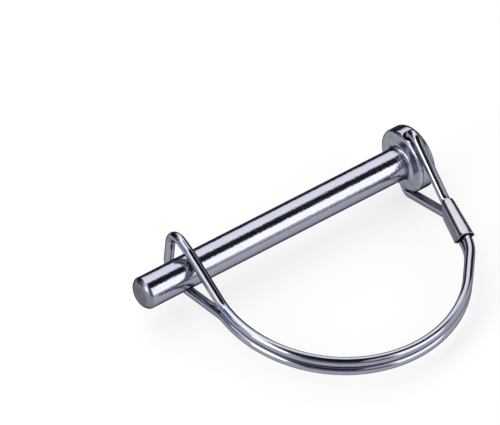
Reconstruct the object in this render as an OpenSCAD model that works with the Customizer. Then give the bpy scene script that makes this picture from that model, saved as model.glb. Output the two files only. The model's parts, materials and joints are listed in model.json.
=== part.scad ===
// Safety pin with a wire bow: a headed shaft, a doubled spring wire that swings in the head
// and loops over the shaft near its tip, and a crimped sleeve round both runs of the wire.
// Millimetres. X runs along the shaft towards the head, Z is up, and the bow lies on the -Y side.
// The origin is on the shaft axis, in the plane of the head's bearing face.

/* [Shaft] */
// diameter of the shaft
shaft_d = 8; // [7:0.1:9]
// length of the shaft from the bearing face of the head to the tip
shaft_len = 76.3; // [70:0.1:100]
// rounding of the edge at the tip
tip_round = 1.3; // [0.6:0.1:1.6]
// fillet where the shaft runs into the head
neck_fillet = 0.9; // [0.5:0.1:1.2]

/* [Head] */
// diameter of the head
head_d = 16; // [15:0.1:18]
// thickness of the head
head_t = 4.9; // [4.4:0.1:7]
// rounding of the head's edge at the bearing face
head_round = 1; // [0.5:0.1:1.2]
// rounding of the head's outer edge, which the runs pass over as the bow swings
back_round = 1.7; // [1.5:0.1:2.2]
// distance of the cross hole's axis behind the bearing face
hole_from_face = 1.9; // [1.8:0.05:2.4]

/* [Wire] */
// diameter of the spring wire
wire_d = 2.4; // [2:0.1:2.6]
// gap between the two runs round the bow
run_gap = 0.35; // [0.2:0.05:0.6]
// play of the wire in the cross hole, all round
pivot_play = 0.08; // [0.05:0.01:0.1]
// gap between the runs and the rim of the head they pass over
head_gap = 0.3; // [0.25:0.05:0.6]

/* [Loop] */
// distance of the loop from the tip
loop_from_tip = 14.3; // [12:0.1:18]
// gap between the shaft and the runs that pass over and under it
loop_clear = 0.65; // [0.6:0.01:1.2]
// gap between the shaft and the closed end of the loop
loop_end_gap = 2.45; // [2:0.05:4]
// bend radius of the loop's two corners
loop_bend = 3.9; // [3:0.1:4.4]

/* [Bow] */
// depth of the bow, from the shaft axis to the middle of the wire
bow_depth = 49; // [46:0.5:56]
// how far the loop's leg leans outward where it meets the bow
leg_lean = 1.3; // [0.5:0.1:2]

/* [Sleeve] */
// distance of the sleeve from the pivot, along the runs
sleeve_from_pivot = 17.2; // [16:0.1:21]
// length of the sleeve
sleeve_len = 11.8; // [9:0.1:13]
// wall of the sleeve
sleeve_wall = 0.35; // [0.3:0.05:0.6]
// room beside the wire inside the sleeve, at its end towards the head
sleeve_ease_head = 0.15; // [0.1:0.05:0.4]
// room beside the wire inside the sleeve, at its end towards the bow
sleeve_ease_bow = 0.75; // [0.6:0.05:1.4]
// outer rounding of the sleeve's four long edges
sleeve_round = 0.95; // [0.8:0.05:1.1]
// how much shorter the sleeve's underside is at its end towards the head
sleeve_cut_head = 2.2; // [1:0.1:3]
// how much shorter the sleeve's underside is at its end towards the bow
sleeve_cut_bow = 2.5; // [1:0.1:3]

/* [Hidden] */
$fn = 28;

r_s = shaft_d / 2;
r_w = wire_d / 2;
r_h = head_d / 2;
pivot = [hole_from_face, 0];
loop_x = loop_from_tip - shaft_len;

// how much thicker the wire is in its bends, and how far the straight stretches reach into them
bend_swell = wire_d / 80;
lap = wire_d / 40;

// bend radii of the wire: where the legs of the loop level out and meet, at both ends of the
// sleeve, where the runs spread towards the head, and where they turn into the cross hole
merge_bend = 3.75 * wire_d;
sleeve_low_bend = 5 * wire_d;
sleeve_top_bend = wire_d;
spread_bend = 0.8 * wire_d;
head_bend = wire_d * 5 / 6;

// half the distance between the two runs round the bow
run_z = r_w + run_gap / 2;

// loop side, measured from the closed end of the loop along its leg: the runs slope down to the
// crown of the shaft, then somewhat steeper until they meet
loop_slope = 10;
crown_slope = 19;
loop_y = r_s + r_w + loop_end_gap;
crown_z = (r_s + r_w + loop_clear) / cos(crown_slope);
corner_z = crown_z + loop_y * tan(loop_slope);
end_z = corner_z - loop_bend * tan(45 + loop_slope / 2);
loop_end = [loop_x, loop_y];

// head side, in plan: the runs lean a little from the pivot to the sleeve, and more through it
lead_turn = 5;
sleeve_turn = 14.5;
sleeve_dir = [sin(sleeve_turn), cos(sleeve_turn)];
sleeve_tail = 1.05 * wire_d;
top_end = pivot - sleeve_from_pivot * [sin(lead_turn), cos(lead_turn)];
low_end = top_end - (sleeve_len + sleeve_tail) * sleeve_dir;

// round part of the bow: it touches the leaning leg and the depth, and swells out a little below
// the sleeve; on a long shaft its radius stops at a share of the depth, and a flat stretch joins
// two round ends
swell = wire_d * 2 / 3;
round_limit = 0.65;
bow_left = loop_x - leg_lean;
bow_p = low_end[0] - bow_left;
bow_q = low_end[1] + bow_depth;
bow_s = bow_p + bow_q + swell;
bow_fit = bow_s - sqrt(bow_s * bow_s - bow_p * bow_p - bow_q * bow_q + swell * swell);
bow_r = min(bow_fit, round_limit * bow_depth);
bow_c = [bow_left + bow_r, bow_r - bow_depth];
flat_len = bow_r < bow_fit
    ? low_end[0] - bow_c[0] - sqrt(pow(bow_r + swell, 2) - pow(low_end[1] - bow_c[1], 2))
    : 0;
tail_c = bow_c + [flat_len, 0];

// point where a line from a point outside touches a round end of the bow
function touch(p, c, side) =
    let (v = p - c, a = atan2(v[1], v[0]) + side * acos(bow_r / norm(v)))
    c + bow_r * [cos(a), sin(a)];
leg_foot = touch(loop_end, bow_c, 1);
tail_foot = touch(low_end, tail_c, -1);
leg_len = norm(leg_foot - loop_end);
leg_dir = atan2(leg_foot[1] - loop_end[1], leg_foot[0] - loop_end[0]);
merge_u = leg_len - 0.9 * wire_d;

// turns of the round ends, counted to and from the deepest point of the bow
leg_turn = atan2(leg_foot[0] - bow_c[0], bow_c[1] - leg_foot[1]);
tail_turn = atan2(tail_foot[0] - tail_c[0], tail_c[1] - tail_foot[1]);

// spread of a run from the sleeve over the rim of the head: the upper run bends at the sleeve's
// end, and the lower one further back, where the sleeve's underside ends
spread_u = wire_d / 3;
rim_r = r_h + r_w + head_gap;
wire_end_z = 0.6 * wire_d;
function run_start(back) = top_end - back * sleeve_dir;
function run_len(back) = norm(pivot - run_start(back));
function run_dir(back) = (pivot - run_start(back)) / run_len(back);
function spread_len(back) = run_len(back) - spread_u;
function spread_turn(back) =
    asin(rim_r / norm([spread_len(back), run_z])) - atan(run_z / spread_len(back));
function spread_start(back) = spread_u - spread_bend * tan(spread_turn(back) / 2);
function head_z(back) = run_z + spread_len(back) * tan(spread_turn(back));

// cross hole in the head with a flared mouth at each side
hole_r = r_w + pivot_play;
mouth = 0.4 * wire_d;
mouth_flare = 0.6 * mouth;
mouth_over = mouth / 6;

// sleeve pressed on to the wire: its inside is a touch lower than the two runs
sleeve_press = wire_d / 60;
sleeve_h = 2 * (run_z + r_w + sleeve_wall) - sleeve_press;
sleeve_w_top = wire_d + sleeve_ease_head + 2 * sleeve_wall;
sleeve_w_low = wire_d + sleeve_ease_bow + 2 * sleeve_wall;

// the whole part is rolled about the shaft until the bow comes down to the level of the head's rim
roll = asin((r_h - r_w - run_z) / bow_depth);

// thickness of the slices that the sleeve is drawn between, and how far cuts reach past a surface
slice = 0.01;
over = 0.1;

// a round rod along a flat path of straight stretches with rounded corners: the bends are a hair
// thicker than the straight stretches, which reach a little way into them
module rod_path(pts, rad, lap_end = 0) {
    n = len(pts);
    dirs = [for (i = [0:n - 2]) (pts[i + 1] - pts[i]) / norm(pts[i + 1] - pts[i])];
    turns = [for (i = [1:n - 2]) acos(min(1, dirs[i - 1] * dirs[i]))];
    cut = [for (i = [0:n - 1]) (i == 0 || i == n - 1) ? 0 : rad[i - 1] * tan(turns[i - 1] / 2)];
    for (i = [0:n - 2]) {
        l = norm(pts[i + 1] - pts[i]) - cut[i] - cut[i + 1];
        a = pts[i] + dirs[i] * (cut[i] - lap);
        if (l > slice)
            translate([a[0], a[1], 0])
                rotate([0, 0, atan2(dirs[i][1], dirs[i][0])])
                    rotate([0, 90, 0])
                        cylinder(d = wire_d, h = l + lap + (i == n - 2 ? lap_end : lap));
    }
    for (i = [1:n - 2]) {
        left = dirs[i - 1][0] * dirs[i][1] - dirs[i - 1][1] * dirs[i][0] > 0 ? 1 : -1;
        nrm = left * [-dirs[i - 1][1], dirs[i - 1][0]];
        c = pts[i] - dirs[i - 1] * cut[i] + nrm * rad[i - 1];
        a0 = atan2(-nrm[1], -nrm[0]);
        translate([c[0], c[1], 0])
            rotate([0, 0, left > 0 ? a0 : a0 - turns[i - 1]])
                bend(rad[i - 1], turns[i - 1]);
    }
}

module bend(r, turn) {
    rotate_extrude(angle = turn)
        translate([r, 0])
            circle(d = wire_d + bend_swell);
}

// the round part of the bow, in one bend or in two with a flat stretch between them
module bow_round() {
    translate(bow_c)
        rotate([0, 0, leg_turn - 90])
            bend(bow_r, flat_len > 0 ? -leg_turn : tail_turn - leg_turn);
    if (flat_len > 0) {
        translate([bow_c[0] - lap, -bow_depth, 0])
            rotate([0, 90, 0])
                cylinder(d = wire_d, h = flat_len + 2 * lap);
        translate(tail_c)
            rotate([0, 0, -90])
                bend(bow_r, tail_turn);
    }
}

// the upper run: corner of the loop, leg, round bow, sleeve stretch, and the end in the head;
// back is how far short of the sleeve's end it bends towards the head
module upper_run(back) {
    translate(loop_end)
        rotate([0, 0, leg_dir])
            rotate([90, 0, 0])
                rod_path(
                    [[0, end_z], [0, corner_z], [loop_y, crown_z], [merge_u, run_z], [leg_len, run_z]],
                    [loop_bend, merge_bend, merge_bend],
                    lap);
    translate([0, 0, run_z]) {
        bow_round();
        rod_path(
            [
                tail_foot,
                low_end,
                run_start(back),
                run_start(back) + run_dir(back) * spread_start(back)
            ],
            [sleeve_low_bend, sleeve_top_bend],
            lap);
    }
    translate(run_start(back))
        rotate([0, 0, atan2(run_dir(back)[1], run_dir(back)[0])])
            rotate([90, 0, 0])
                rod_path(
                    [
                        [spread_start(back), run_z],
                        [spread_u, run_z],
                        [run_len(back), head_z(back)],
                        [run_len(back), wire_end_z]
                    ],
                    [spread_bend, head_bend]);
}

module bow_wire() {
    color([0.72, 0.73, 0.76])
        rotate([roll, 0, 0]) {
            upper_run(0);
            mirror([0, 0, 1])
                upper_run(sleeve_cut_head);
            translate([loop_x, loop_y, -end_z - lap])
                cylinder(d = wire_d, h = 2 * (end_z + lap));
        }
}

// half of the outline of the shaft and head, turned round the shaft axis
module pin_outline() {
    translate([0, tip_round - shaft_len])
        square([r_s, shaft_len]);
    translate([0, -shaft_len])
        square([r_s - tip_round, tip_round]);
    translate([r_s - tip_round, tip_round - shaft_len])
        intersection() {
            circle(r = tip_round);
            translate([0, -tip_round])
                square(tip_round);
        }
    square([r_h - head_round, head_round]);
    translate([0, head_round])
        square([r_h, head_t - head_round - back_round]);
    translate([0, head_t - back_round])
        square([r_h - back_round, back_round]);
    translate([r_h - head_round, head_round])
        circle(r = head_round);
    translate([r_h - back_round, head_t - back_round])
        intersection() {
            circle(r = back_round);
            square(back_round);
        }
    difference() {
        translate([r_s - over, -neck_fillet])
            square(neck_fillet + over);
        translate([r_s + neck_fillet, -neck_fillet])
            circle(r = neck_fillet);
    }
}

module pin() {
    color([0.75, 0.76, 0.79])
        rotate([roll, 0, 0])
            difference() {
                rotate([0, 90, 0])
                    rotate_extrude($fn = 96)
                        pin_outline();
                translate([hole_from_face, 0, -r_h - over])
                    cylinder(r = hole_r, h = 2 * (r_h + over));
                for (m = [0, 1])
                    mirror([0, 0, m])
                        translate([hole_from_face, 0, r_h - mouth + mouth_over])
                            cylinder(r1 = hole_r, r2 = hole_r + mouth_flare, h = mouth);
            }
}

// slice across the sleeve: a rectangle with round corners, given by its four corner circles
module sleeve_slice(w, h, r) {
    rotate([90, 0, 90])
        linear_extrude(height = slice)
            for (y = [-1, 1])
                for (z = [-1, 1])
                    translate([y * (w / 2 - r), z * (h / 2 - r)])
                        circle(r = r);
}

// the sleeve's outside, or its inside when inset by the wall and lengthened past both ends
module sleeve_form(inset, longer) {
    hull() {
        translate([-sleeve_len - longer, 0, 0])
            sleeve_slice(sleeve_w_low - 2 * inset, sleeve_h - 2 * inset, sleeve_round - inset);
        translate([longer - slice, 0, 0])
            sleeve_slice(sleeve_w_top - 2 * inset, sleeve_h - 2 * inset, sleeve_round - inset);
    }
}

// what is cut off an end of the sleeve, which slants from its upper edges back to its underside
module sleeve_slant(cut) {
    top = sleeve_h / 2 - sleeve_round;
    under = -sleeve_h / 2;
    rotate([90, 0, 0])
        linear_extrude(height = 2 * sleeve_w_low, center = true)
            polygon([[over, top], [0, top], [-cut, under], [-cut, under - over], [over, under - over]]);
}

module sleeve() {
    color([0.7, 0.71, 0.75])
        rotate([roll, 0, 0])
            translate(top_end)
                rotate([0, 0, 90 - sleeve_turn])
                    difference() {
                        sleeve_form(0, 0);
                        sleeve_form(sleeve_wall, over);
                        sleeve_slant(sleeve_cut_head);
                        translate([-sleeve_len, 0, 0])
                            mirror([1, 0, 0])
                                sleeve_slant(sleeve_cut_bow);
                    }
}

pin();
bow_wire();
sleeve();
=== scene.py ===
"""Looks of a lynch pin: a headed shaft, a doubled wire bow and a crimped sleeve.

The sizes below are millimetres in the row frame; meshes are made in metres.
"""

import json
import math

import bmesh
import bpy
from mathutils import Matrix, Vector


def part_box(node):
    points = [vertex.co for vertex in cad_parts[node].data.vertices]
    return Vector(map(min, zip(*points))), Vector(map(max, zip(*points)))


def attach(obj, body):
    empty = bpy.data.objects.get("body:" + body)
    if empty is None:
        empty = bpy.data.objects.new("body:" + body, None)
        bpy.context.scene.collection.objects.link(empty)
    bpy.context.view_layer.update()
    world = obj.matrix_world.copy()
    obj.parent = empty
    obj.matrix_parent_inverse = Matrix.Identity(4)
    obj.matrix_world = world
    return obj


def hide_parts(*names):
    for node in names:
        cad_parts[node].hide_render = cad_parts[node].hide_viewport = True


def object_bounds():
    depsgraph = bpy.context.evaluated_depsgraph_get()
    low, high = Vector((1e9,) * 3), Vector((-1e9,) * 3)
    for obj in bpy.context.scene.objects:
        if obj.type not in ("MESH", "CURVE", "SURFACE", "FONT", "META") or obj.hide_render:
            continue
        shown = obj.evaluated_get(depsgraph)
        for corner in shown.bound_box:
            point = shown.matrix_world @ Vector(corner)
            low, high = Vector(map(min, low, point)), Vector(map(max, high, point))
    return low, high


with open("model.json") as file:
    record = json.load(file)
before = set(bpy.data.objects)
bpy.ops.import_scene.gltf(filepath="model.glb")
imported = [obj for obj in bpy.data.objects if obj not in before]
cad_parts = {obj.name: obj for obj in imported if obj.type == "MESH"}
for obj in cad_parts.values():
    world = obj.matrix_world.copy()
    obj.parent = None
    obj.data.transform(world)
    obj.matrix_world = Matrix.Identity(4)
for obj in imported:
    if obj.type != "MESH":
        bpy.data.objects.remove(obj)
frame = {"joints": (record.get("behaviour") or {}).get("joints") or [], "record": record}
cad_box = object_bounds()

MM = 0.001

# Sizes read from the frame
shaft_mount = next(m for m in frame["record"]["mounts"] if m["name"] == "shaft")
hinge = frame["joints"][0]
pin_low, pin_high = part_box("pin")
SHAFT_R = shaft_mount["dims"]["r_mm"]
SHAFT_LEN = -pin_low.x / MM
HEAD_R = pin_high.z / MM
HEAD_T = pin_high.x / MM
FLOOR_Z = cad_box[0].z
HOLE_X = hinge["pos_m"][0] / MM
ROLL = math.atan2(-hinge["axis"][1], hinge["axis"][2])

# Wire: its size and the gap between its two runs round the bow
WIRE_D = 2.4
RUN_GAP = 0.35
WIRE_R = WIRE_D / 2
RUN_Z = WIRE_R + RUN_GAP / 2

# Pin
TIP_ROUND = 1.3
TIP_POWER = 1.35
NECK_FILLET = 0.9
HEAD_ROUND = 1.0
BACK_ROUND = 1.7
RIM_DEPTH = 0.25
PIVOT_PLAY = 0.08
HOLE_R = WIRE_R + PIVOT_PLAY
MOUTH_DEPTH = 0.8
MOUTH_FLARE = 0.52
MOUTH_CURVE = 1.6

# Loop round the shaft, measured along its leg
LOOP_FROM_TIP = 14.3
LOOP_CLEAR = 0.65
LOOP_END_GAP = 2.45
LOOP_BEND = 3.9
LOOP_SLOPE = math.radians(10)
CROWN_SLOPE = math.radians(19)
LOOP_X = LOOP_FROM_TIP - SHAFT_LEN
LOOP_Y = SHAFT_R + WIRE_R + LOOP_END_GAP
CROWN_Z = (SHAFT_R + WIRE_R + LOOP_CLEAR) / math.cos(CROWN_SLOPE)
MERGE_BEND = 3.75 * WIRE_D
MERGE_BACK = 0.9 * WIRE_D

# Bow
BOW_DEPTH = 49.0
LEG_LEAN = 1.3
SWELL = WIRE_D * 2 / 3

# Sleeve
LEAD_TURN = math.radians(5)
SLEEVE_TURN = math.radians(14.5)
SLEEVE_FROM_PIVOT = 17.2
SLEEVE_LEN = 11.8
SLEEVE_TAIL = 1.05 * WIRE_D
SLEEVE_WALL = 0.35
SLEEVE_EASE_HEAD = 0.15
SLEEVE_EASE_BOW = 0.75
SLEEVE_PRESS = WIRE_D / 60
SLEEVE_H = 2 * (RUN_Z + WIRE_R + SLEEVE_WALL) - SLEEVE_PRESS
SLEEVE_W_HEAD = WIRE_D + SLEEVE_EASE_HEAD + 2 * SLEEVE_WALL
SLEEVE_W_BOW = WIRE_D + SLEEVE_EASE_BOW + 2 * SLEEVE_WALL
SLEEVE_ROUND = 0.95
SLEEVE_CUT_HEAD = 2.2
SLEEVE_CUT_BOW = 2.5
SLEEVE_CROWN = 0.45
SLEEVE_PINCH = 0.12
SLEEVE_PINCH_Z = SLEEVE_H / 2.6
SLEEVE_LIP = 0.1
SLEEVE_FLARE = 0.18
SLEEVE_FLARE_LEN = 0.9
SLEEVE_SINK = 0.1
SLEEVE_SINK_LEN = 0.8

# Runs between the sleeve and the head
SLEEVE_LOW_BEND = 5 * WIRE_D
SLEEVE_TOP_BEND = WIRE_D
SPREAD_U = WIRE_D / 3
SPREAD_BEND = 0.8 * WIRE_D
HEAD_BEND = WIRE_D * 5 / 6
HEAD_GAP = 0.3
WIRE_END_Z = 0.6 * WIRE_D

# Fineness of the meshes
TURN_SIDES = 192
WIRE_SIDES = 40
WIRE_STEP = 0.4
SHARP_ANGLE = math.radians(40)
SLIVER = 0.001

# Places of the pin's materials in its list
BAR, HEAD_FACE, TIP_FACE, SHADED_HOLE = range(4)

roll_matrix = Matrix.Rotation(ROLL, 3, "X")


def plan(angle):
    """A direction in the bow's plane, counted from the Y axis towards the X axis."""
    return Vector((math.sin(angle), math.cos(angle)))


PIVOT = Vector((HOLE_X, 0))
SLEEVE_DIR = plan(SLEEVE_TURN)
SLEEVE_TOP = PIVOT - SLEEVE_FROM_PIVOT * plan(LEAD_TURN)
SLEEVE_LOW = SLEEVE_TOP - (SLEEVE_LEN + SLEEVE_TAIL) * SLEEVE_DIR


def make_piece(name, points, faces, grain):
    """A smooth-shaded mesh object; points and grain are in millimetres, one each per vertex."""
    mesh = bpy.data.meshes.new(name)
    mesh.from_pydata([roll_matrix @ Vector(p) * MM for p in points], [], faces)
    piece = bpy.data.objects.new(name, mesh)
    bpy.context.scene.collection.objects.link(piece)
    finish_mesh(mesh, grain)
    return piece


def finish_mesh(mesh, grain):
    """Smooth shading with sharp edges, and the grain coordinates that the materials read."""
    mesh.polygons.foreach_set("use_smooth", [True] * len(mesh.polygons))
    mesh.set_sharp_from_angle(angle=SHARP_ANGLE)
    layer = mesh.attributes.new("grain", "FLOAT_VECTOR", "POINT")
    layer.data.foreach_set("vector", [c for g in grain for c in g])
    mesh.update()


def ring_faces(count, sides, closed=False):
    """Quads between successive rings of points."""
    quads = []
    for i in range(count if closed else count - 1):
        j = (i + 1) % count
        for k in range(sides):
            m = (k + 1) % sides
            quads.append((i * sides + k, i * sides + m, j * sides + m, j * sides + k))
    return quads


def corner_points(before, corner, after, radius, step):
    """The rounding of a corner, from the end of one straight to the start of the next."""
    a = (corner - before).normalized()
    b = (after - corner).normalized()
    turn = a.angle(b)
    side = (b - a * a.dot(b)).normalized()
    centre = corner - a * radius * math.tan(turn / 2) + side * radius
    count = max(3, math.ceil(turn * radius / step))
    angles = [turn * i / count for i in range(count + 1)]
    return [centre + radius * (a * math.sin(t) - side * math.cos(t)) for t in angles]


def rounded_path(points, radii, step):
    """A path of straights with rounded corners."""
    path = [points[0]]
    for i, radius in enumerate(radii, 1):
        path += corner_points(points[i - 1], points[i], points[i + 1], radius, step)
    return path + [points[-1]]


def even_path(points, step):
    """The same path with its long straights divided."""
    path = [points[0]]
    for a, b in zip(points, points[1:]):
        count = max(1, math.ceil((b - a).length / step))
        path += [a.lerp(b, i / count) for i in range(1, count + 1)]
    return path


def raised(point, z):
    """A point of the bow's plane, lifted off it."""
    return Vector((point.x, point.y, z))


def bow_circle():
    """Centre and radius of the bow: it touches the leaning leg and the depth, and swells past the sleeve."""
    left = LOOP_X - LEG_LEAN
    p = SLEEVE_LOW.x - left
    q = SLEEVE_LOW.y + BOW_DEPTH
    s = p + q + SWELL
    radius = s - math.sqrt(s * s - p * p - q * q + SWELL * SWELL)
    return Vector((left + radius, radius - BOW_DEPTH)), radius


def touch_angle(point, centre, radius, side):
    """Where on a circle a line from a point outside touches it."""
    away = point - centre
    return math.atan2(away.y, away.x) + side * math.acos(radius / away.length)


def loop_and_bow():
    """Middle line of the upper run from the closed end of the loop to the end of the round bow."""
    loop_end = Vector((LOOP_X, LOOP_Y))
    centre, radius = bow_circle()
    start = touch_angle(loop_end, centre, radius, 1)
    stop = touch_angle(SLEEVE_LOW, centre, radius, -1)
    leg_foot = centre + radius * Vector((math.cos(start), math.sin(start)))
    leg_len = (leg_foot - loop_end).length
    leg = (leg_foot - loop_end) / leg_len
    path = rounded_path(
        [
            raised(loop_end, 0),
            raised(loop_end, CROWN_Z + LOOP_Y * math.tan(LOOP_SLOPE)),
            raised(loop_end + leg * LOOP_Y, CROWN_Z),
            raised(loop_end + leg * (leg_len - MERGE_BACK), RUN_Z),
            raised(leg_foot, RUN_Z),
        ],
        [LOOP_BEND, MERGE_BEND, MERGE_BEND],
        WIRE_STEP,
    )
    sweep = (stop - start) % (2 * math.pi)
    count = math.ceil(sweep * radius / WIRE_STEP)
    for i in range(1, count + 1):
        a = start + sweep * i / count
        path.append(raised(centre + radius * Vector((math.cos(a), math.sin(a))), RUN_Z))
    return path


def head_end(tail, back):
    """Middle line from the end of the round bow, through the sleeve, into the head's cross hole.

    back is how far short of the sleeve's end the run bends towards the head.
    """
    bend_at = SLEEVE_TOP - back * SLEEVE_DIR
    length = (PIVOT - bend_at).length
    ahead = (PIVOT - bend_at) / length
    spread_len = length - SPREAD_U
    rim = HEAD_R + WIRE_R + HEAD_GAP
    spread_turn = math.asin(rim / math.hypot(spread_len, RUN_Z)) - math.atan(RUN_Z / spread_len)
    return rounded_path(
        [
            tail,
            raised(SLEEVE_LOW, RUN_Z),
            raised(bend_at, RUN_Z),
            raised(bend_at + ahead * SPREAD_U, RUN_Z),
            raised(PIVOT, RUN_Z + spread_len * math.tan(spread_turn)),
            raised(PIVOT, WIRE_END_Z),
        ],
        [SLEEVE_LOW_BEND, SLEEVE_TOP_BEND, SPREAD_BEND, HEAD_BEND],
        WIRE_STEP,
    )[1:]


def make_wire():
    """One round wire along the lower run, the loop and the upper run."""
    half = loop_and_bow()
    upper = half + head_end(half[-1], 0)
    lower = [Vector((p.x, p.y, -p.z)) for p in half + head_end(half[-1], SLEEVE_CUT_HEAD)]
    path = even_path(lower[::-1] + upper[1:], 2 * WIRE_STEP)
    points = []
    grain = []
    side = Vector((0, 1, 0))
    along = 0.0
    for i, p in enumerate(path):
        ahead = (path[min(i + 1, len(path) - 1)] - path[max(i - 1, 0)]).normalized()
        side = (side - ahead * side.dot(ahead)).normalized()
        up = ahead.cross(side)
        along += (p - path[i - 1]).length if i else 0
        for k in range(WIRE_SIDES):
            a = 2 * math.pi * k / WIRE_SIDES
            points.append(p + WIRE_R * (side * math.cos(a) + up * math.sin(a)))
            grain.append((along, WIRE_R * math.cos(a), WIRE_R * math.sin(a)))
    faces = ring_faces(len(path), WIRE_SIDES)
    last = len(points) - WIRE_SIDES
    faces.append(tuple(range(WIRE_SIDES))[::-1])
    faces.append(tuple(range(last, last + WIRE_SIDES)))
    return make_piece("spring_wire", points, faces, grain)


def slot_outline(w, h, r, per_corner=9, per_side=8):
    """A rectangle with round corners and divided sides, counter-clockwise."""
    corners = []
    for quarter, (sy, sz) in enumerate(((1, 1), (-1, 1), (-1, -1), (1, -1))):
        angles = [math.pi / 2 * (quarter + i / (per_corner - 1)) for i in range(per_corner)]
        y = sy * (w / 2 - r)
        z = sz * (h / 2 - r)
        corners.append([Vector((y + r * math.cos(a), z + r * math.sin(a))) for a in angles])
    outline = []
    for corner, following in zip(corners, corners[1:] + corners[:1]):
        outline += corner
        outline += [corner[-1].lerp(following[0], i / per_side) for i in range(1, per_side)]
    return outline


def slanted(s, z):
    """Moves a place along the sleeve so that both ends slant back towards the underside."""
    top = SLEEVE_H / 2 - SLEEVE_ROUND
    down = min(1, max(0, (top - z) / (top + SLEEVE_H / 2)))
    share = 1 + s / SLEEVE_LEN
    length = SLEEVE_LEN - down * (SLEEVE_CUT_HEAD + SLEEVE_CUT_BOW)
    return down * SLEEVE_CUT_BOW - SLEEVE_LEN + share * length


def sleeve_flare(s):
    """How far the sleeve opens outwards at a place near its end at the bow."""
    return SLEEVE_FLARE * max(0, 1 - (s + SLEEVE_LEN) / SLEEVE_FLARE_LEN) ** 2


def sleeve_sink(s):
    """How far the sleeve's outer surface falls at a place near its end at the head."""
    return SLEEVE_SINK * max(0, 1 + s / SLEEVE_SINK_LEN) ** 2


def sleeve_rings(count=48):
    """Places along the sleeve and how far inside its outline, for the outer and the inner surface."""
    angles = [math.pi / 6 * i for i in range(4)]
    lip = [(SLEEVE_LIP * (1 - math.sin(a)), SLEEVE_LIP * (1 - math.cos(a))) for a in angles]
    straight = SLEEVE_LEN - 2 * SLEEVE_LIP
    wall = [(back - SLEEVE_LEN, inset) for back, inset in reversed(lip)]
    wall += [(straight * (i / count - 1) - SLEEVE_LIP, 0) for i in range(1, count)]
    wall += [(-back, inset) for back, inset in lip]
    outer = [(s, inset + sleeve_sink(s) - sleeve_flare(s)) for s, inset in wall]
    inner = [(s, SLEEVE_WALL - inset - sleeve_flare(s)) for s, inset in reversed(wall)]
    return outer, inner


def make_sleeve():
    """A flattened tube, wider towards the bow, with slanted ends, a flared mouth and pinched sides."""
    outer, inner = sleeve_rings()
    points = []
    for s, inset in outer + inner:
        share = -s / SLEEVE_LEN
        w = SLEEVE_W_HEAD + (SLEEVE_W_BOW - SLEEVE_W_HEAD) * share
        press = SLEEVE_PINCH * math.sin(math.pi * share)
        for y, z in slot_outline(w - 2 * inset, SLEEVE_H - 2 * inset, SLEEVE_ROUND - inset):
            pinch = press * max(0, 1 - (z / SLEEVE_PINCH_Z) ** 2)
            fall = SLEEVE_CROWN * (2 * y / w) ** 2 * abs(2 * z / SLEEVE_H)
            points.append((slanted(s, z), y - math.copysign(pinch, y), z - math.copysign(fall, z)))
    count = len(outer) + len(inner)
    sides = len(points) // count
    turn = Matrix.Rotation(math.pi / 2 - SLEEVE_TURN, 3, "Z")
    placed = [turn @ Vector(p) + raised(SLEEVE_TOP, 0) for p in points]
    piece = make_piece("crimped_sleeve", placed, ring_faces(count, sides, closed=True), points)
    # Material 1, on the inner surface, is the near-black painted shade.
    for i, polygon in enumerate(piece.data.polygons):
        polygon.material_index = 1 if len(outer) <= i // sides < count - 1 else 0
    return piece


def arc(cx, cy, r, start, stop, count=8):
    """Points on an arc of the pin's outline, with angles in degrees."""
    angles = [math.radians(start + (stop - start) * i / count) for i in range(count + 1)]
    return [(cx + r * math.cos(a), cy + r * math.sin(a)) for a in angles]


def broken_edge(count):
    """A quarter of a rounding that is flatter in its middle than an arc, from (1, 0) to (0, 1)."""
    angles = [math.pi / 2 * i / count for i in range(count + 1)]
    return [(max(0, math.cos(a)) ** TIP_POWER, math.sin(a) ** TIP_POWER) for a in angles]


def divided(a, b, step):
    """Points between two outline points, without the ends."""
    count = max(1, math.ceil(math.dist(a, b) / step))
    return [(a[0] + (b[0] - a[0]) * i / count, a[1] + (b[1] - a[1]) * i / count) for i in range(1, count)]


def pin_outline():
    """Half of the outline of shaft and head, from the tip to the outer face: (along, radius)."""
    tip = [(-SHAFT_LEN + TIP_ROUND * (1 - c), SHAFT_R - TIP_ROUND * (1 - r)) for c, r in broken_edge(12)]
    neck = arc(-NECK_FILLET, SHAFT_R + NECK_FILLET, NECK_FILLET, 270, 360)
    edge = arc(HEAD_ROUND, HEAD_R - HEAD_ROUND, HEAD_ROUND, 180, 90, 12)
    back = arc(HEAD_T - BACK_ROUND, HEAD_R - BACK_ROUND, BACK_ROUND, 90, 0, 14)
    outline = divided((-SHAFT_LEN, 0), tip[0], 0.6) + tip
    outline += divided(tip[-1], neck[0], 2.0) + neck
    outline += divided(neck[-1], edge[0], 0.4) + edge
    outline += divided(edge[-1], back[0], 0.3) + back
    return outline + divided(back[-1], (HEAD_T, 0), 0.6)


def turned_solid(outline, place):
    """A closed solid turned round the first axis of place; outline is (along, radius)."""
    points = []
    for s, r in outline:
        for k in range(TURN_SIDES):
            a = 2 * math.pi * k / TURN_SIDES
            points.append(place @ Vector((s, r * math.cos(a), r * math.sin(a))))
    faces = ring_faces(len(outline), TURN_SIDES)
    first = tuple(range(TURN_SIDES))
    last = tuple(range((len(outline) - 1) * TURN_SIDES, len(outline) * TURN_SIDES))
    return points, faces + [first[::-1], last]


def cut_by(piece, cutter):
    """Subtracts one mesh object from another and removes the cutter."""
    cut = piece.modifiers.new("cut", "BOOLEAN")
    cut.operation = "DIFFERENCE"
    cut.solver = "EXACT"
    cut.object = cutter
    done = bpy.data.meshes.new_from_object(piece.evaluated_get(bpy.context.evaluated_depsgraph_get()))
    piece.modifiers.remove(cut)
    piece.data = done
    bpy.data.objects.remove(cutter)
    drop_slivers(done)


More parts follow.
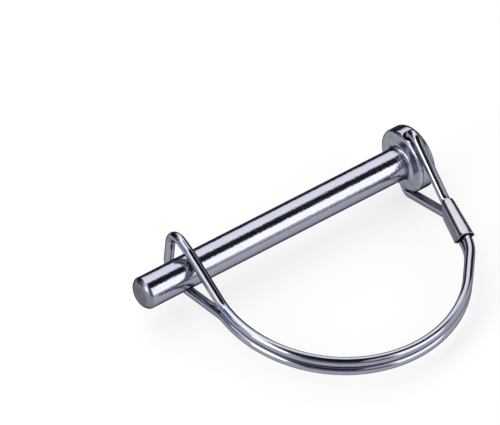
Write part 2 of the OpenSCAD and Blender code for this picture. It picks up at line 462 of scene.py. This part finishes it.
def drop_slivers(mesh):
    """Splits the faces with many corners and removes what has no area."""
    work = bmesh.new()
    work.from_mesh(mesh)
    bmesh.ops.triangulate(work, faces=[f for f in work.faces if len(f.verts) > 4])
    bmesh.ops.dissolve_degenerate(work, dist=SLIVER * MM, edges=work.edges)
    work.to_mesh(mesh)
    work.free()


def make_hole_cutter():
    """The cross hole, with a flared mouth at each side of the head."""
    steps = 8
    over = 0.4
    mouth = []
    for i in range(steps + 1):
        t = i / steps
        mouth.append((HEAD_R - MOUTH_DEPTH * (1 - t), HOLE_R + MOUTH_FLARE * t**MOUTH_CURVE))
    mouth.append((HEAD_R + over, HOLE_R + MOUTH_FLARE + 0.75 * over))
    hole = [(-s, r) for s, r in reversed(mouth)] + mouth
    points, faces = turned_solid(hole, Matrix.Rotation(-math.pi / 2, 3, "Y"))
    points = [p + raised(PIVOT, 0) for p in points]
    return make_piece("hole_cutter", points, faces, points)


def looks_into_hole(centre, normal):
    """Whether a face of the pin is inside the cross hole."""
    margin = 0.05
    axis = roll_matrix @ Vector((0, 0, 1))
    out = centre - raised(PIVOT, 0)
    out -= axis * out.dot(axis)
    return out.length < HOLE_R + MOUTH_FLARE + margin and normal.dot(out) < -0.3 * out.length


def pin_finish(centre, normal):
    """Which material a face of the pin has: the rim is as bright as the shaft, the faces are duller, the
    tip's end is darker with painted shade, and the hole's inside is near-black painted shade.
    """
    # A face inside the hole gets the near-black painted shade.
    if looks_into_hole(centre, normal):
        return SHADED_HOLE
    if math.hypot(centre.y, centre.z) > HEAD_R - RIM_DEPTH:
        return BAR
    if centre.x > -NECK_FILLET:
        return HEAD_FACE
    # The tip's end and its rounding get the darker material: rougher as a turned face, darker as painted
    # shade.
    return TIP_FACE if normal.x < -0.2 else BAR


def make_pin():
    """Shaft and head, with the flared cross hole for the wire's ends."""
    points, faces = turned_solid(pin_outline(), Matrix.Identity(3))
    piece = make_piece("headed_shaft", points, faces, points)
    cut_by(piece, make_hole_cutter())
    mesh = piece.data
    mesh.attributes.remove(mesh.attributes["grain"])
    finish_mesh(mesh, [v.co / MM for v in mesh.vertices])
    for polygon in mesh.polygons:
        polygon.material_index = pin_finish(polygon.center / MM, polygon.normal)
    return piece


class Nodes:
    """Short calls for building a material's node tree."""

    def __init__(self, tree):
        self.tree = tree

    def add(self, kind, **values):
        node = self.tree.nodes.new(kind)
        for name, value in values.items():
            setattr(node, name, value)
        return node

    def link(self, out, into):
        self.tree.links.new(out, into)

    def noise(self, vector, stretch, detail=3.0, rough=0.55):
        """Noise over the grain coordinates; stretch is how many grains go into a millimetre, by axis."""
        place = self.add("ShaderNodeMapping")
        place.inputs["Scale"].default_value = stretch
        self.link(vector, place.inputs["Vector"])
        node = self.add("ShaderNodeTexNoise")
        node.inputs["Scale"].default_value = 1.0
        node.inputs["Detail"].default_value = detail
        node.inputs["Roughness"].default_value = rough
        self.link(place.outputs["Vector"], node.inputs["Vector"])
        return node.outputs["Fac"]

    def ramp(self, fac, stops):
        """Colours by a factor."""
        node = self.add("ShaderNodeValToRGB")
        ramp = node.color_ramp
        while len(ramp.elements) < len(stops):
            ramp.elements.new(0.5)
        for element, (at, colour) in zip(ramp.elements, stops):
            element.position = at
            element.color = (*colour, 1.0)
        self.link(fac, node.inputs["Fac"])
        return node.outputs["Color"]

    def spread(self, fac, low, high):
        """A factor from 0.3 to 0.7 spread over low to high."""
        node = self.add("ShaderNodeMapRange")
        node.inputs["From Min"].default_value = 0.3
        node.inputs["From Max"].default_value = 0.7
        node.inputs["To Min"].default_value = low
        node.inputs["To Max"].default_value = high
        self.link(fac, node.inputs["Value"])
        return node.outputs["Result"]

    def bump(self, height, distance, before=None):
        """Relief of the given height in metres, on top of another."""
        node = self.add("ShaderNodeBump")
        node.inputs["Distance"].default_value = distance
        self.link(height, node.inputs["Height"])
        if before is not None:
            self.link(before, node.inputs["Normal"])
        return node.outputs["Normal"]


def metal(name, tints, rough, edge, lay, streak, wave, wave_height):
    """A plated metal.

    tints run from one end of the mottle to the other, rough is its range, edge the tint of grazing
    light, lay and streak the fine drawn lines, wave and wave_height the soft unevenness.
    """
    material = bpy.data.materials.new(name)
    material.use_nodes = True
    n = Nodes(material.node_tree)
    shader = material.node_tree.nodes["Principled BSDF"]
    shader.inputs["Metallic"].default_value = 1.0
    shader.inputs["Specular Tint"].default_value = (*edge, 1.0)
    grain = n.add("ShaderNodeAttribute", attribute_name="grain").outputs["Vector"]
    mottle = n.noise(grain, (0.25, 0.6, 0.6), 4.0)
    lines = n.noise(grain, lay, 4.0, 0.6)
    waves = n.noise(grain, wave, 1.5)
    stops = [(0.3 + 0.4 * i / (len(tints) - 1), tint) for i, tint in enumerate(tints)]
    n.link(n.ramp(mottle, stops), shader.inputs["Base Color"])
    n.link(n.spread(lines, *rough), shader.inputs["Roughness"])
    fine = n.bump(lines, streak)
    n.link(n.bump(waves, wave_height, fine), shader.inputs["Normal"])
    return material


plated_bar = metal(
    "plated_bar",
    tints=[(0.305, 0.32, 0.385), (0.325, 0.33, 0.40), (0.34, 0.335, 0.41)],
    rough=(0.10, 0.17),
    edge=(0.03, 0.03, 0.05),
    lay=(0.25, 4.0, 4.0),
    streak=2.0e-6,
    wave=(1.8, 1.1, 1.1),
    wave_height=3.6e-5,
)
plated_head = metal(
    "plated_head",
    tints=[(0.31, 0.345, 0.40), (0.37, 0.39, 0.45), (0.42, 0.425, 0.485)],
    rough=(0.22, 0.36),
    edge=(0.05, 0.05, 0.07),
    lay=(1.3, 1.3, 1.3),
    streak=2.2e-5,
    wave=(0.55, 0.55, 0.55),
    wave_height=1.0e-4,
)
plated_wire = metal(
    "plated_wire",
    tints=[(0.27, 0.305, 0.365), (0.305, 0.315, 0.375), (0.33, 0.31, 0.38)],
    rough=(0.08, 0.14),
    edge=(0.20, 0.20, 0.23),
    lay=(0.12, 4.0, 4.0),
    streak=1.5e-6,
    wave=(0.25, 0.4, 0.4),
    wave_height=1.5e-5,
)
plated_sleeve = metal(
    "plated_sleeve",
    tints=[(0.32, 0.325, 0.37), (0.35, 0.35, 0.40), (0.37, 0.365, 0.42)],
    rough=(0.14, 0.24),
    edge=(0.28, 0.28, 0.32),
    lay=(0.2, 3.0, 3.0),
    streak=2.0e-6,
    wave=(0.4, 0.5, 0.5),
    wave_height=1.5e-5,
)
# Darker and rougher than the bar, for the tip's end: the roughness is its turned face, the darker base is
# painted shade for the darker surroundings that the end reflects.
turned_and_shaded_end = metal(
    "turned_and_shaded_end",
    tints=[(0.20, 0.205, 0.23), (0.225, 0.225, 0.255), (0.25, 0.25, 0.28)],
    rough=(0.22, 0.32),
    edge=(0.1, 0.1, 0.12),
    lay=(3.0, 1.6, 1.6),
    streak=4.0e-6,
    wave=(0.5, 0.5, 0.5),
    wave_height=4.0e-5,
)
# Near black: painted shade for the inside of the cross hole and of the sleeve, where little light gets in.
painted_shade_inside = metal(
    "painted_shade_inside",
    tints=[(0.03, 0.03, 0.035), (0.05, 0.05, 0.055), (0.08, 0.08, 0.085)],
    rough=(0.40, 0.60),
    edge=(0.5, 0.5, 0.5),
    lay=(1.0, 1.0, 1.0),
    streak=2.0e-6,
    wave=(0.6, 0.6, 0.6),
    wave_height=6.0e-6,
)


def dress(piece, body, node, slot, *materials):
    """Puts a piece in the place of its CAD node."""
    for material in materials:
        piece.data.materials.append(material)
    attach(piece, body)
    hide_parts(node)


dress(make_pin(), "pin", "pin", "plated_bar", plated_bar, plated_head, turned_and_shaded_end, painted_shade_inside)
dress(make_wire(), "bow", "bow_wire", "plated_wire", plated_wire)
dress(make_sleeve(), "bow", "sleeve", "plated_sleeve", plated_sleeve, painted_shade_inside)

# Camera: a long lens at the photograph's angle
VIEW_AZIMUTH = -37.06
VIEW_ELEVATION = 42.55
VIEW_WIDTH = 0.11594
VIEW_DISTANCE = 3.0
LOOK_AT = Vector((-0.0481, -0.0050, 0.01415))


def towards(azimuth, elevation):
    """A direction in degrees: azimuth 0 is the front, -Y, and 90 the head's side, +X."""
    a = math.radians(azimuth)
    e = math.radians(elevation)
    return Vector((math.sin(a) * math.cos(e), -math.cos(a) * math.cos(e), math.sin(e)))


def add_object(name, data, place):
    thing = bpy.data.objects.new(name, data)
    bpy.context.scene.collection.objects.link(thing)
    thing.matrix_world = place
    return thing


def facing(target, back, distance):
    """Place at a distance along back from the target, looking at the target, level."""
    z = back.normalized()
    x = Vector((0, 0, 1)).cross(z).normalized()
    turn = Matrix((x, z.cross(x), z)).transposed().to_4x4()
    return Matrix.Translation(target + z * distance) @ turn


def make_camera():
    lens = bpy.data.cameras.new("camera")
    lens.lens = lens.sensor_width * VIEW_DISTANCE / VIEW_WIDTH
    lens.clip_end = 2 * VIEW_DISTANCE
    back = towards(VIEW_AZIMUTH, VIEW_ELEVATION)
    bpy.context.scene.camera = add_object("camera", lens, facing(LOOK_AT, back, VIEW_DISTANCE))


# Studio: panels parallel to the shaft, placed by the angle round it, and panels placed by direction
MIDDLE = Vector((-0.033, -0.015, 0.0))


def beside_shaft(start, stop, distance, left, right):
    """Place and size of a panel that covers an angle round the shaft: 0 is the front, 90 above."""
    a = math.radians((start + stop) / 2)
    back = Vector((0, -math.cos(a), math.sin(a)))
    rise = 2 * distance * math.tan(math.radians(stop - start) / 2)
    place = Matrix.Translation(((left + right) / 2, 0, 0)) @ facing(MIDDLE, back, distance)
    return place, right - left, rise


def aside(azimuth, elevation, distance, width, height):
    """Place and size of a panel in a direction, with its width and height in degrees."""
    place = facing(MIDDLE, towards(azimuth, elevation), distance)
    wide = 2 * distance * math.tan(math.radians(width) / 2)
    high = 2 * distance * math.tan(math.radians(height) / 2)
    return place, wide, high


def facing_wall(behind, height, left, right):
    """Place and size of an upright panel behind the pin, standing on the floor."""
    middle = Vector(((left + right) / 2, behind, FLOOR_Z + height / 2))
    return facing(middle, Vector((0, 1, 0)), 0), right - left, height


def soft_box(name, panel, radiance, colour=(1, 1, 1)):
    """A soft light of an even radiance."""
    place, wide, high = panel
    light = bpy.data.lights.new(name, "AREA")
    light.shape = "RECTANGLE"
    light.size = wide
    light.size_y = high
    light.energy = radiance * math.pi * wide * high
    light.color = colour
    add_object(name, light, place)


def plain_sheet(name, wide, high):
    """A flat rectangle."""
    x = wide / 2
    y = high / 2
    mesh = bpy.data.meshes.new(name)
    mesh.from_pydata([(-x, -y, 0), (x, -y, 0), (x, y, 0), (-x, y, 0)], [], [(0, 1, 2, 3)])
    return mesh


def flag(name, panel, shade):
    """A matt card out of the picture, as a studio sets up to draw darker lines in bright metal."""
    place, wide, high = panel
    mesh = plain_sheet(name, wide, high)
    material = bpy.data.materials.new(name)
    material.use_nodes = True
    shader = material.node_tree.nodes["Principled BSDF"]
    shader.inputs["Base Color"].default_value = (shade, 1.05 * shade, 1.6 * shade, 1.0)
    shader.inputs["Roughness"].default_value = 0.9
    shader.inputs["Specular IOR Level"].default_value = 0.1
    mesh.materials.append(material)
    card = add_object(name, mesh, place)
    card.visible_camera = False
    card.visible_diffuse = False
    card.visible_shadow = False


def seen_rays(n):
    """1 for rays that see the background: from the camera, in reflections and through glass."""
    path = n.add("ShaderNodeLightPath")
    both = n.add("ShaderNodeMath", operation="MAXIMUM")
    n.link(path.outputs["Is Camera Ray"], both.inputs[0])
    n.link(path.outputs["Is Glossy Ray"], both.inputs[1])
    all_three = n.add("ShaderNodeMath", operation="MAXIMUM")
    n.link(both.outputs[0], all_three.inputs[0])
    n.link(path.outputs["Is Transmission Ray"], all_three.inputs[1])
    return all_three.outputs[0]


def make_world(ambient):
    """Even light all round; white where it is seen."""
    world = bpy.data.worlds.new("studio")
    bpy.context.scene.world = world
    world.use_nodes = True
    n = Nodes(world.node_tree)
    lit = world.node_tree.nodes["Background"]
    lit.inputs["Strength"].default_value = ambient
    lit.inputs["Color"].default_value = (1, 1, 1, 1)
    white = n.add("ShaderNodeBackground")
    white.inputs["Color"].default_value = (1, 1, 1, 1)
    mix = n.add("ShaderNodeMixShader")
    n.link(seen_rays(n), mix.inputs[0])
    n.link(lit.outputs[0], mix.inputs[1])
    n.link(white.outputs[0], mix.inputs[2])
    n.link(mix.outputs[0], world.node_tree.nodes["World Output"].inputs["Surface"])


def make_floor(size, lift):
    """A white floor at the height that the pin lies on; lift is how much of its white is its own."""
    mesh = plain_sheet("floor", size, size)
    material = bpy.data.materials.new("floor")
    material.use_nodes = True
    tree = material.node_tree
    tree.nodes.remove(tree.nodes["Principled BSDF"])
    n = Nodes(tree)
    matt = n.add("ShaderNodeBsdfDiffuse")
    matt.inputs["Color"].default_value = (0.92, 0.92, 0.92, 1)
    glow = n.add("ShaderNodeEmission")
    part = n.add("ShaderNodeMath", operation="MULTIPLY")
    part.inputs[1].default_value = lift
    n.link(seen_rays(n), part.inputs[0])
    mix = n.add("ShaderNodeMixShader")
    n.link(part.outputs[0], mix.inputs[0])
    n.link(matt.outputs[0], mix.inputs[1])
    n.link(glow.outputs[0], mix.inputs[2])
    n.link(mix.outputs[0], tree.nodes["Material Output"].inputs["Surface"])
    mesh.materials.append(material)
    add_object("floor", mesh, Matrix.Translation((MIDDLE.x, MIDDLE.y, FLOOR_Z)))


make_camera()
make_world(ambient=0.45)
make_floor(size=6.0, lift=0.72)

# Soft boxes
WARM = (1.0, 0.99, 0.93)
WARM_WHITE = (1.0, 1.0, 0.97)
soft_box("front_box", beside_shaft(8, 54, distance=0.50, left=0.09, right=0.50), 1.9, WARM)
soft_box("back_box", beside_shaft(103, 160, distance=0.50, left=-0.05, right=0.50), 1.1, WARM_WHITE)
soft_box("left_box", aside(-96, 46, distance=0.50, width=38, height=26), 1.5)
soft_box("high_box", aside(-112, 70, distance=0.50, width=50, height=18), 3.0)
soft_box("low_box", aside(-82, 24, distance=0.42, width=26, height=22), 4.4)

# Matt cards
DARK = 0.02
MIDDLING = 0.28
PALE = 0.40
flag("top_flag", beside_shaft(58, 97, distance=0.40, left=-0.10, right=0.34), DARK)
flag("high_flag", aside(-38, 60, distance=0.42, width=44, height=60), DARK)
flag("front_flag", aside(-26, 14, distance=0.45, width=62, height=32), MIDDLING)
flag("left_flag", aside(-125, 22, distance=0.54, width=34, height=60), PALE)
flag("side_flag", aside(-166, 20, distance=0.45, width=46, height=44), DARK)
flag("right_flag", aside(106, 19, distance=0.42, width=42, height=40), DARK)
flag("back_flag", facing_wall(behind=0.13, height=0.06, left=-0.25, right=0.30), DARK)

bpy.context.scene.view_settings.view_transform = "Standard"
